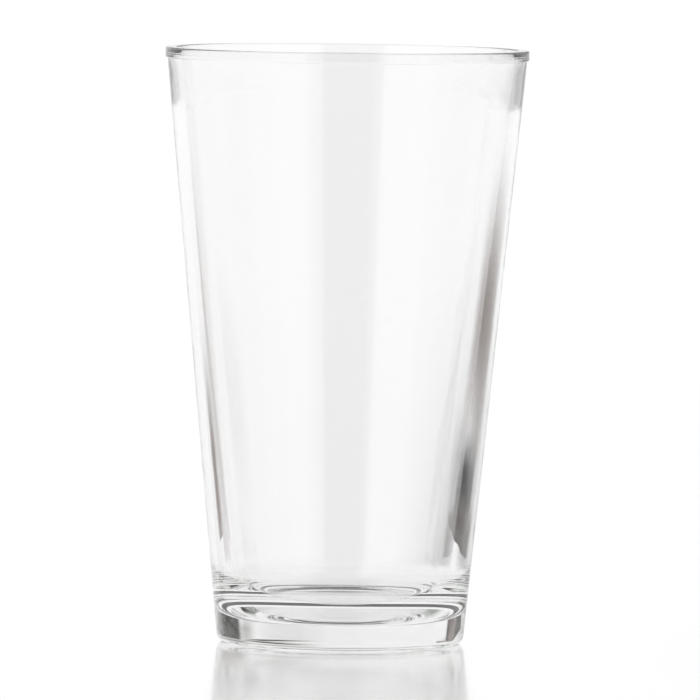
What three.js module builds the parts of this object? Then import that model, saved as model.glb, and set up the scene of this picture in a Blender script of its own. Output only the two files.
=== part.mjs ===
// A 16 US fl oz bar mixing glass: one piece of clear pressed soda-lime glass.
// Units are millimetres, +Z is up, and the origin is the centre of the circle it rests on.

import * as THREE from 'three';

// ---------------------------------------------------------------- driving dimensions

const HEIGHT = 145.5; // resting plane to the top of the lip
const RIM_DIAMETER = 89.0; // over the bead, the widest part
const FOOT_DIAMETER = 60.2; // where the outer wall meets the resting plane, before the heel is rounded

// The bead: a raised band below the lip, left by the ring of the mould.
const BEAD_HEIGHT = 2.6; // from its lower edge to the top of the lip
const BEAD_STEP = 0.5; // how far it stands out from the wall
const BEAD_EDGE_RADIUS = 0.22; // rounding of its lower edge

// The lip: fire polished, so both corners are eased.
const LIP_THICKNESS = 2.6;
const LIP_OUTER_RADIUS = 0.5;
const LIP_INNER_RADIUS = 0.5;

// The inner wall: nearly parallel to the outer one, flaring a little below the lip.
const FLARE_DEPTH = 14.0; // from the lip down to where the flare ends
const WALL_AT_FLARE = 3.2; // wall thickness where the flare ends
const WALL_AT_FLOOR = 5.1; // wall thickness carried down to the level of the floor
const FLARE_BLEND_RADIUS = 40.0;

// The base: a thick slug of glass under a rounded bowl.
const FLOOR_HEIGHT = 6.0; // inner floor above the resting plane
const BOWL_RADIUS = 15.0; // rounding from the inner wall into the floor
const HEEL_RADIUS = 2.2;

// The underside: a shallow dome inside a flat ring, so that the glass stands on the ring.
const RING_INNER_DIAMETER = 46.0;
const RING_EDGE_RADIUS = 0.8;
const DOME_RISE = 1.1;

const AROUND = 72; // segments round the axis
const DEGREES_PER_STEP = 15; // length of one straight piece of a rounding
const DOME_STEPS = 4;

// ---------------------------------------------------------------- the outline

const seamHeight = HEIGHT - BEAD_HEIGHT;
const seamRadius = RIM_DIAMETER / 2 - BEAD_STEP;

// Radius of the tapered outer wall at a height above the resting plane.
function outerRadius(z) {
  return THREE.MathUtils.mapLinear(z, 0, seamHeight, FOOT_DIAMETER / 2, seamRadius);
}

// One corner of the outline: its place, and the radius it is rounded with.
function corner(r, z, rounding = 0) {
  return { point: new THREE.Vector2(r, z), rounding };
}

// The rounded form of one corner: an arc tangent to the two straight pieces that meet there.
function roundedCorner(before, here, after) {
  const toBefore = before.point.clone().sub(here.point).normalize();
  const toAfter = after.point.clone().sub(here.point).normalize();
  const halfAngle = Math.acos(toBefore.dot(toAfter)) / 2;
  const centre = toBefore.clone().add(toAfter)
    .setLength(here.rounding / Math.sin(halfAngle))
    .add(here.point);
  const start = toBefore.multiplyScalar(here.rounding / Math.tan(halfAngle))
    .add(here.point)
    .sub(centre);
  const end = toAfter.multiplyScalar(here.rounding / Math.tan(halfAngle))
    .add(here.point)
    .sub(centre);
  const sweep = Math.atan2(start.cross(end), start.dot(end));
  const steps = Math.max(2, Math.ceil(THREE.MathUtils.radToDeg(Math.abs(sweep)) / DEGREES_PER_STEP));
  const origin = new THREE.Vector2();
  const points = [];
  for (let i = 0; i <= steps; i += 1) {
    points.push(start.clone().rotateAround(origin, sweep * i / steps).add(centre));
  }
  return points;
}

// The dome of the underside, from the axis out to the inner edge of the resting ring.
function domeCorners() {
  const edge = RING_INNER_DIAMETER / 2;
  const sphere = (edge ** 2 + DOME_RISE ** 2) / (2 * DOME_RISE);
  const corners = [];
  for (let i = 0; i < DOME_STEPS; i += 1) {
    const r = edge * i / DOME_STEPS;
    corners.push(corner(r, DOME_RISE - sphere + Math.sqrt(sphere ** 2 - r ** 2)));
  }
  corners.push(corner(edge, 0, RING_EDGE_RADIUS));
  return corners;
}

// From the heel up the outer wall, over the bead, to the outer corner of the lip.
function outsideCorners() {
  const rim = RIM_DIAMETER / 2;
  return [
    corner(FOOT_DIAMETER / 2, 0, HEEL_RADIUS),
    corner(seamRadius, seamHeight, BEAD_EDGE_RADIUS),
    corner(rim, seamHeight, BEAD_EDGE_RADIUS),
    corner(rim, HEIGHT, LIP_OUTER_RADIUS),
  ];
}

// From the inner corner of the lip down the inner wall to the centre of the floor.
function insideCorners() {
  const flareHeight = HEIGHT - FLARE_DEPTH;
  return [
    corner(RIM_DIAMETER / 2 - LIP_THICKNESS, HEIGHT, LIP_INNER_RADIUS),
    corner(outerRadius(flareHeight) - WALL_AT_FLARE, flareHeight, FLARE_BLEND_RADIUS),
    corner(outerRadius(FLOOR_HEIGHT) - WALL_AT_FLOOR, FLOOR_HEIGHT, BOWL_RADIUS),
    corner(0, FLOOR_HEIGHT),
  ];
}

// The whole outline as points, from the centre of the underside round to the centre of the floor.
function outline() {
  const corners = [...domeCorners(), ...outsideCorners(), ...insideCorners()];
  return corners.flatMap((here, i) => (
    here.rounding > 0 ? roundedCorner(corners[i - 1], here, corners[i + 1]) : [here.point]
  ));
}

// ---------------------------------------------------------------- the part

function makeGlassBody() {
  const geometry = new THREE.LatheGeometry(outline(), AROUND);
  geometry.rotateX(Math.PI / 2); // the lathe turns about Y; the glass stands along Z
  const clearGlass = new THREE.MeshStandardMaterial({
    name: 'clear_glass',
    color: 0xeef2f0,
    roughness: 0.04,
    metalness: 0.0,
    transparent: true,
    opacity: 0.35,
  });
  const body = new THREE.Mesh(geometry, clearGlass);
  body.name = 'glass_body';
  return body;
}

const mixingGlass = new THREE.Group();
mixingGlass.name = 'mixing_glass';
mixingGlass.add(makeGlassBody());

export default mixingGlass;
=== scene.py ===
"""The looks of a bar mixing glass: clear pressed glass on a glossy white table in a light tent."""

import math

import bpy
from mathutils import Matrix, Vector, noise


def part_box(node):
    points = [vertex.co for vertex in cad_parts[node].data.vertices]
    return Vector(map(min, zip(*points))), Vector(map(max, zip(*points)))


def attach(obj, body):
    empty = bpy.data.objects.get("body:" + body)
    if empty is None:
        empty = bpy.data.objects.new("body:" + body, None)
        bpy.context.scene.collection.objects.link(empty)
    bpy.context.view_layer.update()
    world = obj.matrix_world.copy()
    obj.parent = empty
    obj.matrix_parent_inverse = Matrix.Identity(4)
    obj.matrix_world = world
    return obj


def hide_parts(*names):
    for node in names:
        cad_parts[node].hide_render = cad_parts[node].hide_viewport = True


MM = 0.001

# ---------------------------------------------------------------- the glass, in millimetres

# The same driving dimensions as the CAD part. Its height and rim come from the frame.
FOOT_DIAMETER = 60.2
BEAD_HEIGHT = 2.6
BEAD_STEP = 0.5
BEAD_EDGE_RADIUS = 0.22
LIP_THICKNESS = 2.6
LIP_OUTER_RADIUS = 0.5
LIP_INNER_RADIUS = 0.5
FLARE_DEPTH = 14.0
WALL_AT_FLARE = 3.2
WALL_AT_FLOOR = 5.1
FLARE_BLEND_RADIUS = 40.0
FLOOR_HEIGHT = 6.0
BOWL_RADIUS = 15.0
HEEL_RADIUS = 2.2
RING_INNER_DIAMETER = 46.0
RING_EDGE_RADIUS = 0.8
DOME_RISE = 1.1

# How finely the visual mesh follows that outline.
AROUND = 288
DOME_STEPS = 16
DEGREES_PER_STEP = 4.0
FEWEST_STEPS = 3  # in one rounded corner
LONGEST_STEP = 2.5

# Pressed glass is never quite true: both walls wander by a few hundredths of a millimetre.
WAVE_HEIGHT = 0.02
WAVE_LENGTH = 28.0
WAVE_SQUEEZE = 0.6  # the waves run longer up the wall than round it
WAVE_FADE = 6.0  # no waves this close to the table, so the resting ring stays flat

# ---------------------------------------------------------------- the clear glass, in metres

GLASS_IOR = 1.52
GLASS_HAZE = (0.972, 0.968, 0.970, 1.0)

# Absorption: a faint grey that shows only through the thick base.
GLASS_TINT = (0.50, 0.54, 0.50, 1.0)
GLASS_DENSITY = 4.5

# Fire polish, with patches that handling has dulled.
POLISH_SCALE = 60.0
POLISH_DETAIL = 3.0
POLISH_PATCHES = (0.55, 0.80)  # the noise values between which a patch sets in
POLISH_SMOOTH = 0.0
POLISH_HANDLED = 0.02

# The orange peel left by the mould.
PEEL_SCALE = 170.0
PEEL_DETAIL = 1.0
PEEL_DEPTH = 0.00001

# ---------------------------------------------------------------- the camera, in metres

CAMERA_DISTANCE = 2.646
CAMERA_ABOVE_RIM = 0.074
CAMERA_ROLL = math.radians(0.75)
CAMERA_REACH = 100.0
AIM_RIGHT = 0.00155
AIM_HEIGHT_SHARE = 0.4925  # of the height of the glass
FOCAL_LENGTH = 557.0  # millimetres, like the sensor
SENSOR_WIDTH = 36.0
LIGHT_BOUNCES = 32

# ---------------------------------------------------------------- the light tent, in metres

TENT_RADIANCE = 1.03
WHITE = (1.0, 1.0, 1.0)
BROWN = (1.0, 0.85, 0.78)

# Upright cards. Each row: name, azimuths in degrees, distance, heights, colour, radiance, feathers.
# Azimuths count from straight behind the glass to the right; feathers are shares of the card.
SOFTBOX_RADIANCE = 1.2
FRONT_CARDS = (
    ("softbox_left", (-157, -104), 1.6, (-0.2, 1.6), WHITE, SOFTBOX_RADIANCE, (0.3, 0.1)),
    ("softbox_right", (115, 165), 1.6, (-0.2, 1.6), WHITE, SOFTBOX_RADIANCE, (0.3, 0.1)),
    ("dark_front", (160, 208), 2.8, (-0.4, 2.2), BROWN, 0.06, (0.1, 0.02)),
)

# Small flags that only the glass sees. They draw the dark streaks in its walls and thick base.
FLAGS = (
    ("dark_right_slug", (33, 78), 0.170, (-0.002, 0.033), BROWN, 0.01, (0.08, 0.45)),
    ("dark_right_low", (24, 78), 0.172, (-0.060, 0.016), BROWN, 0.08, (0.14, 0.12)),
    ("dark_right_high", (26, 70), 0.172, (0.012, 0.106), BROWN, 0.22, (0.24, 0.50)),
    ("dark_left_slug", (-72, -46), 1.000, (0.061, 0.105), BROWN, 0.01, (0.10, 0.12)),
    ("dark_left_low", (-52, -40), 0.170, (-0.030, 0.060), BROWN, 0.25, (0.35, 0.45)),
)

# Cards far behind the glass, for its rim and its outer edges.
REAR_CARDS = (
    ("edge_right", (2, 49), 2.5, (0.17, 0.50), BROWN, 0.06, (0.45, 0.3)),
    ("backdrop_right", (2, 34), 2.5, (-0.10, 0.25), WHITE, 0.88, (0.4, 0.3)),
    ("edge_left", (-54, -39), 2.5, (0.17, 0.50), BROWN, 0.30, (0.15, 0.3)),
)

# The dark card overhead, narrower at the back.
TOP_HEIGHT = 1.9
TOP_FRONT = -2.9
TOP_BACK = 2.2
TOP_FRONT_SIDES = (-0.95, 2.2)
TOP_BACK_SIDES = (-0.45, 0.6)
TOP_DARK = 0.03
TOP_FEATHERS = (0.15, 0.04)

# ---------------------------------------------------------------- the table, in metres

TABLE_RADIUS = 20.0
TABLE_EDGES = 128
TABLE_WHITE = (0.95, 0.95, 0.95, 1.0)
TABLE_GLOW = 0.75
TABLE_ROUGHNESS = 0.12
GLOSS_BLEND = 0.5
GLOSS_POWER = 3.0

# A thin darker ring where the glass rests, for the shade of the contact.
CONTACT_RADIUS = 0.0255
CONTACT_HALF_WIDTH = 0.0011
CONTACT_GLOW = 0.05

# The acrylic turns into paper between these distances from the axis.
ACRYLIC_RADIUS = 0.45
PAPER_RADIUS = 1.5


# ---------------------------------------------------------------- the shape


def corner(r, z, rounding=0.0):
    """One corner of the outline and the radius it is rounded with."""
    return Vector((r, z)), rounding


def rounded_corner(before, here, after, rounding):
    """Points along the arc that is tangent to both straight pieces meeting at here."""
    to_before = (before - here).normalized()
    to_after = (after - here).normalized()
    half_angle = to_before.angle(to_after) / 2
    centre = here + (to_before + to_after).normalized() * (rounding / math.sin(half_angle))
    tangent = rounding / math.tan(half_angle)
    start = here + to_before * tangent - centre
    end = here + to_after * tangent - centre
    sweep = math.atan2(start.x * end.y - start.y * end.x, start.dot(end))
    steps = max(FEWEST_STEPS, math.ceil(math.degrees(abs(sweep)) / DEGREES_PER_STEP))
    return [centre + Matrix.Rotation(sweep * i / steps, 2) @ start for i in range(steps + 1)]


def glass_corners(height, rim):
    """The outline's corners, from the centre of the underside round to the centre of the floor."""
    ring = RING_INNER_DIAMETER / 2
    foot = FOOT_DIAMETER / 2
    seam = height - BEAD_HEIGHT
    flare = height - FLARE_DEPTH

    def outer(z):
        return foot + (rim - BEAD_STEP - foot) * z / seam

    sphere = (ring ** 2 + DOME_RISE ** 2) / (2 * DOME_RISE)
    dome = [
        corner(r, DOME_RISE - sphere + math.sqrt(sphere ** 2 - r ** 2))
        for r in (ring * i / DOME_STEPS for i in range(DOME_STEPS))
    ]
    return dome + [
        corner(ring, 0, RING_EDGE_RADIUS),
        corner(foot, 0, HEEL_RADIUS),
        corner(rim - BEAD_STEP, seam, BEAD_EDGE_RADIUS),
        corner(rim, seam, BEAD_EDGE_RADIUS),
        corner(rim, height, LIP_OUTER_RADIUS),
        corner(rim - LIP_THICKNESS, height, LIP_INNER_RADIUS),
        corner(outer(flare) - WALL_AT_FLARE, flare, FLARE_BLEND_RADIUS),
        corner(outer(FLOOR_HEIGHT) - WALL_AT_FLOOR, FLOOR_HEIGHT, BOWL_RADIUS),
        corner(0, FLOOR_HEIGHT),
    ]


def glass_outline(height, rim):
    """The outline as points no further apart than LONGEST_STEP."""
    corners = glass_corners(height, rim)
    points = []
    for i, (here, rounding) in enumerate(corners):
        if rounding > 0:
            points += rounded_corner(corners[i - 1][0], here, corners[i + 1][0], rounding)
        else:
            points.append(here)
    fine = [points[0]]
    for here in points[1:]:
        last = fine[-1]
        pieces = max(1, math.ceil((here - last).length / LONGEST_STEP))
        fine += [last.lerp(here, k / pieces) for k in range(1, pieces + 1)]
    return fine


def wave(x, y, z):
    """How far the surface stands out of true at a point, in millimetres."""
    fade = min(1.0, max(0.0, z / WAVE_FADE))
    place = Vector((x, y, z * WAVE_SQUEEZE)) / WAVE_LENGTH
    return WAVE_HEIGHT * fade * noise.noise(place)


def make_glass(high):
    """The glass body as one closed lathed mesh."""
    outline = glass_outline(high.z / MM, high.x / MM)
    first, last = outline[0], outline[-1]
    vertices = [Vector((0, 0, first.y)) * MM]
    rings = outline[1:-1]
    for point in rings:
        for k in range(AROUND):
            angle = math.tau * k / AROUND
            x, y = math.cos(angle), math.sin(angle)
            r = point.x + wave(x * point.x, y * point.x, point.y)
            vertices.append(Vector((r * x, r * y, point.y)) * MM)
    vertices.append(Vector((0, 0, last.y)) * MM)

    def at(ring, k):
        return 1 + ring * AROUND + k % AROUND

    faces = [(0, at(0, k + 1), at(0, k)) for k in range(AROUND)]
    for ring in range(len(rings) - 1):
        for k in range(AROUND):
            faces.append((at(ring, k), at(ring, k + 1), at(ring + 1, k + 1), at(ring + 1, k)))
    top = len(vertices) - 1
    faces += [(at(len(rings) - 1, k), at(len(rings) - 1, k + 1), top) for k in range(AROUND)]

    mesh = bpy.data.meshes.new("glass_body_clear")
    mesh.from_pydata(vertices, [], faces)
    mesh.shade_smooth()
    mesh.validate()
    body = bpy.data.objects.new("glass_body_clear", mesh)
    bpy.context.scene.collection.objects.link(body)
    return body


# ---------------------------------------------------------------- materials


def new_material(name):
    material = bpy.data.materials.new(name)
    material.use_nodes = True
    material.node_tree.nodes.clear()
    return material, material.node_tree.nodes, material.node_tree.links


def noise_factor(nodes, links, scale, detail):
    """Noise in the object's own coordinates."""
    place = nodes.new("ShaderNodeTexCoord")
    grain = nodes.new("ShaderNodeTexNoise")
    grain.inputs["Scale"].default_value = scale
    grain.inputs["Detail"].default_value = detail
    links.new(place.outputs["Object"], grain.inputs["Vector"])
    return grain.outputs["Fac"]


def glass_polish(nodes, links):
    """Roughness: fire polish, with faint patches left by handling."""
    polish = nodes.new("ShaderNodeMapRange")
    polish.interpolation_type = "SMOOTHSTEP"
    polish.inputs["From Min"].default_value = POLISH_PATCHES[0]
    polish.inputs["From Max"].default_value = POLISH_PATCHES[1]
    polish.inputs["To Min"].default_value = POLISH_SMOOTH
    polish.inputs["To Max"].default_value = POLISH_HANDLED
    links.new(noise_factor(nodes, links, POLISH_SCALE, POLISH_DETAIL), polish.inputs["Value"])
    return polish.outputs["Result"]


def glass_relief(nodes, links):
    """Normal: the shallow orange peel that the chilled mould leaves on pressed glass."""
    relief = nodes.new("ShaderNodeBump")
    relief.inputs["Strength"].default_value = 1.0
    relief.inputs["Distance"].default_value = PEEL_DEPTH
    links.new(noise_factor(nodes, links, PEEL_SCALE, PEEL_DETAIL), relief.inputs["Height"])
    return relief.outputs["Normal"]


def clear_glass():
    material, nodes, links = new_material("clear_glass")
    output = nodes.new("ShaderNodeOutputMaterial")
    shader = nodes.new("ShaderNodeBsdfPrincipled")
    shader.inputs["Base Color"].default_value = GLASS_HAZE
    shader.inputs["Transmission Weight"].default_value = 1.0
    shader.inputs["IOR"].default_value = GLASS_IOR
    links.new(glass_polish(nodes, links), shader.inputs["Roughness"])
    links.new(glass_relief(nodes, links), shader.inputs["Normal"])
    links.new(shader.outputs["BSDF"], output.inputs["Surface"])
    volume = nodes.new("ShaderNodeVolumeAbsorption")
    volume.inputs["Color"].default_value = GLASS_TINT
    volume.inputs["Density"].default_value = GLASS_DENSITY
    links.new(volume.outputs["Volume"], output.inputs["Volume"])
    return material


def table_white(nodes, links, distance):
    """Matt white with a glow of its own, less of it on the ring where the glass rests: painted
    contact shade.
    """
    matt = nodes.new("ShaderNodeBsdfDiffuse")
    matt.inputs["Color"].default_value = TABLE_WHITE
    lit = nodes.new("ShaderNodeEmission")
    lit.inputs["Strength"].default_value = TENT_RADIANCE
    contact_shade_ring = nodes.new("ShaderNodeMath")
    contact_shade_ring.operation = "COMPARE"
    contact_shade_ring.inputs[1].default_value = CONTACT_RADIUS
    contact_shade_ring.inputs[2].default_value = CONTACT_HALF_WIDTH
    links.new(distance, contact_shade_ring.inputs[0])
    share = nodes.new("ShaderNodeMapRange")
    share.inputs["To Min"].default_value = TABLE_GLOW
    share.inputs["To Max"].default_value = CONTACT_GLOW
    links.new(contact_shade_ring.outputs["Value"], share.inputs["Value"])
    white = nodes.new("ShaderNodeMixShader")
    links.new(share.outputs["Result"], white.inputs["Fac"])
    links.new(matt.outputs["BSDF"], white.inputs[1])
    links.new(lit.outputs["Emission"], white.inputs[2])
    return white.outputs["Shader"]


def table_acrylic(nodes, links, white):
    """The white under a clear gloss that grows towards grazing angles."""
    gloss = nodes.new("ShaderNodeBsdfGlossy")
    gloss.inputs["Color"].default_value = (*WHITE, 1.0)
    gloss.inputs["Roughness"].default_value = TABLE_ROUGHNESS
    facing = nodes.new("ShaderNodeLayerWeight")
    facing.inputs["Blend"].default_value = GLOSS_BLEND
    power = nodes.new("ShaderNodeMath")
    power.operation = "POWER"
    power.inputs[1].default_value = GLOSS_POWER
    links.new(facing.outputs["Facing"], power.inputs[0])
    acrylic = nodes.new("ShaderNodeMixShader")
    links.new(power.outputs["Value"], acrylic.inputs["Fac"])
    links.new(white, acrylic.inputs[1])
    links.new(gloss.outputs["BSDF"], acrylic.inputs[2])
    return acrylic.outputs["Shader"]


def table_top():
    """Glossy white acrylic round the glass, running out into matt white paper."""
    material, nodes, links = new_material("white_table")
    output = nodes.new("ShaderNodeOutputMaterial")
    where = nodes.new("ShaderNodeNewGeometry")
    distance = nodes.new("ShaderNodeVectorMath")
    distance.operation = "LENGTH"
    links.new(where.outputs["Position"], distance.inputs[0])
    white = table_white(nodes, links, distance.outputs["Value"])
    acrylic = table_acrylic(nodes, links, white)
    paper = nodes.new("ShaderNodeEmission")
    paper.inputs["Strength"].default_value = TENT_RADIANCE
    fade = nodes.new("ShaderNodeMapRange")
    fade.interpolation_type = "SMOOTHSTEP"
    fade.inputs["From Min"].default_value = ACRYLIC_RADIUS
    fade.inputs["From Max"].default_value = PAPER_RADIUS
    links.new(distance.outputs["Value"], fade.inputs["Value"])
    table = nodes.new("ShaderNodeMixShader")
    links.new(fade.outputs["Result"], table.inputs["Fac"])
    links.new(acrylic, table.inputs[1])
    links.new(paper.outputs["Emission"], table.inputs[2])
    links.new(table.outputs["Shader"], output.inputs["Surface"])
    return material


def soft_edge(nodes, links, coordinate, feather):
    """A factor that rises from 0 to 1 within a feather of either edge of the card."""
    rest = nodes.new("ShaderNodeMath")
    rest.operation = "SUBTRACT"
    rest.inputs[0].default_value = 1.0
    links.new(coordinate, rest.inputs[1])
    nearest = nodes.new("ShaderNodeMath")
    nearest.operation = "MINIMUM"
    links.new(coordinate, nearest.inputs[0])
    links.new(rest.outputs["Value"], nearest.inputs[1])
    rise = nodes.new("ShaderNodeMapRange")
    rise.interpolation_type = "SMOOTHSTEP"
    rise.inputs["From Max"].default_value = feather
    links.new(nearest.outputs["Value"], rise.inputs["Value"])
    return rise.outputs["Result"]


def card_material(name, colour, radiance, feather):
    """An even glow that fades out towards the card's edges."""
    material, nodes, links = new_material(name)
    output = nodes.new("ShaderNodeOutputMaterial")
    glow = nodes.new("ShaderNodeEmission")
    glow.inputs["Color"].default_value = (*colour, 1.0)
    glow.inputs["Strength"].default_value = radiance
    clear = nodes.new("ShaderNodeBsdfTransparent")
    place = nodes.new("ShaderNodeUVMap")
    axes = nodes.new("ShaderNodeSeparateXYZ")
    links.new(place.outputs["UV"], axes.inputs["Vector"])
    both = nodes.new("ShaderNodeMath")
    both.operation = "MULTIPLY"
    links.new(soft_edge(nodes, links, axes.outputs["X"], feather[0]), both.inputs[0])
    links.new(soft_edge(nodes, links, axes.outputs["Y"], feather[1]), both.inputs[1])
    mix = nodes.new("ShaderNodeMixShader")
    links.new(both.outputs["Value"], mix.inputs["Fac"])
    links.new(clear.outputs["BSDF"], mix.inputs[1])
    links.new(glow.outputs["Emission"], mix.inputs[2])
    links.new(mix.outputs["Shader"], output.inputs["Surface"])
    return material


# ---------------------------------------------------------------- the stage


def make_table():
    bpy.ops.mesh.primitive_circle_add(vertices=TABLE_EDGES, radius=TABLE_RADIUS, fill_type="NGON")
    table = bpy.context.object
    table.name = "table"
    table.data.materials.append(table_top())


def add_card(name, corners, colour, radiance, feather):
    """A glowing flat card that the camera itself doesn't see."""
    mesh = bpy.data.meshes.new(name)
    mesh.from_pydata(corners, [], [(0, 1, 2, 3)])
    layer = mesh.uv_layers.new(name="card")
    for loop, uv in zip(layer.data, ((0, 0), (1, 0), (1, 1), (0, 1))):
        loop.uv = uv
    mesh.materials.append(card_material(name, colour, radiance, feather))
    card = bpy.data.objects.new(name, mesh)
    bpy.context.scene.collection.objects.link(card)
    card.visible_camera = False
    return card


def upright_card(name, azimuths, distance, heights, colour, radiance, feather):
    """A card standing at a distance from the glass, between two azimuths."""
    low, high = heights
    foot = [
        (distance * math.sin(math.radians(azimuth)), distance * math.cos(math.radians(azimuth)))
        for azimuth in azimuths
    ]
    corners = [(*foot[0], low), (*foot[1], low), (*foot[1], high), (*foot[0], high)]
    return add_card(name, corners, colour, radiance, feather)


def make_top():
    """The dark card overhead."""
    corners = [
        (TOP_FRONT_SIDES[0], TOP_FRONT, TOP_HEIGHT),
        (TOP_FRONT_SIDES[1], TOP_FRONT, TOP_HEIGHT),
        (TOP_BACK_SIDES[1], TOP_BACK, TOP_HEIGHT),
        (TOP_BACK_SIDES[0], TOP_BACK, TOP_HEIGHT),
    ]
    add_card("dark_top", corners, BROWN, TOP_DARK, TOP_FEATHERS)


def make_tent():
    """Soft lights in front, and dark cards in front, above, beside and behind."""
    for row in FRONT_CARDS:
        upright_card(*row)
    make_top()
    for row in FLAGS:
        flag = upright_card(*row)
        flag.visible_glossy = False
        flag.visible_diffuse = False
    for row in REAR_CARDS:
        upright_card(*row)


def make_world():
    world = bpy.data.worlds.new("tent")
    bpy.context.scene.world = world
    world.use_nodes = True
    background = world.node_tree.nodes["Background"]
    background.inputs["Color"].default_value = (*WHITE, 1.0)
    background.inputs["Strength"].default_value = TENT_RADIANCE


def make_camera(high):
    """A long lens a little above the rim, looking slightly down at the middle of the glass."""
    data = bpy.data.cameras.new("camera")
    data.lens = FOCAL_LENGTH
    data.sensor_width = SENSOR_WIDTH
    data.clip_end = CAMERA_REACH
    camera = bpy.data.objects.new("camera", data)
    bpy.context.scene.collection.objects.link(camera)
    camera.location = (0, -CAMERA_DISTANCE, high.z + CAMERA_ABOVE_RIM)
    aim = Vector((AIM_RIGHT, 0, high.z * AIM_HEIGHT_SHARE))
    look = (aim - camera.location).to_track_quat("-Z", "Y").to_matrix()
    camera.rotation_euler = (look @ Matrix.Rotation(CAMERA_ROLL, 3, "Z")).to_euler()
    bpy.context.scene.camera = camera


def set_light_paths():
    """Light runs round inside the thick base many times before it leaves."""
    cycles = bpy.context.scene.cycles
    cycles.max_bounces = LIGHT_BOUNCES
    cycles.glossy_bounces = LIGHT_BOUNCES
    cycles.transmission_bounces = LIGHT_BOUNCES


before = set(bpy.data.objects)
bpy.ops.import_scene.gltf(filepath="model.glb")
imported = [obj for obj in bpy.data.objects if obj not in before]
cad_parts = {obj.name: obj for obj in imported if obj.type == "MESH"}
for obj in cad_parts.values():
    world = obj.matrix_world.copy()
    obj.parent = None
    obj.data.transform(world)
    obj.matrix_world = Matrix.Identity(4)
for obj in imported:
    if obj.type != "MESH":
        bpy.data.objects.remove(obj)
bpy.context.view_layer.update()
_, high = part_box("glass_body")

glass = make_glass(high)
glass.data.materials.append(clear_glass())
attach(glass, "root")
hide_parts("glass_body")

make_world()
make_table()
make_tent()
make_camera(high)
bpy.context.scene.view_settings.view_transform = "Standard"
set_light_paths()
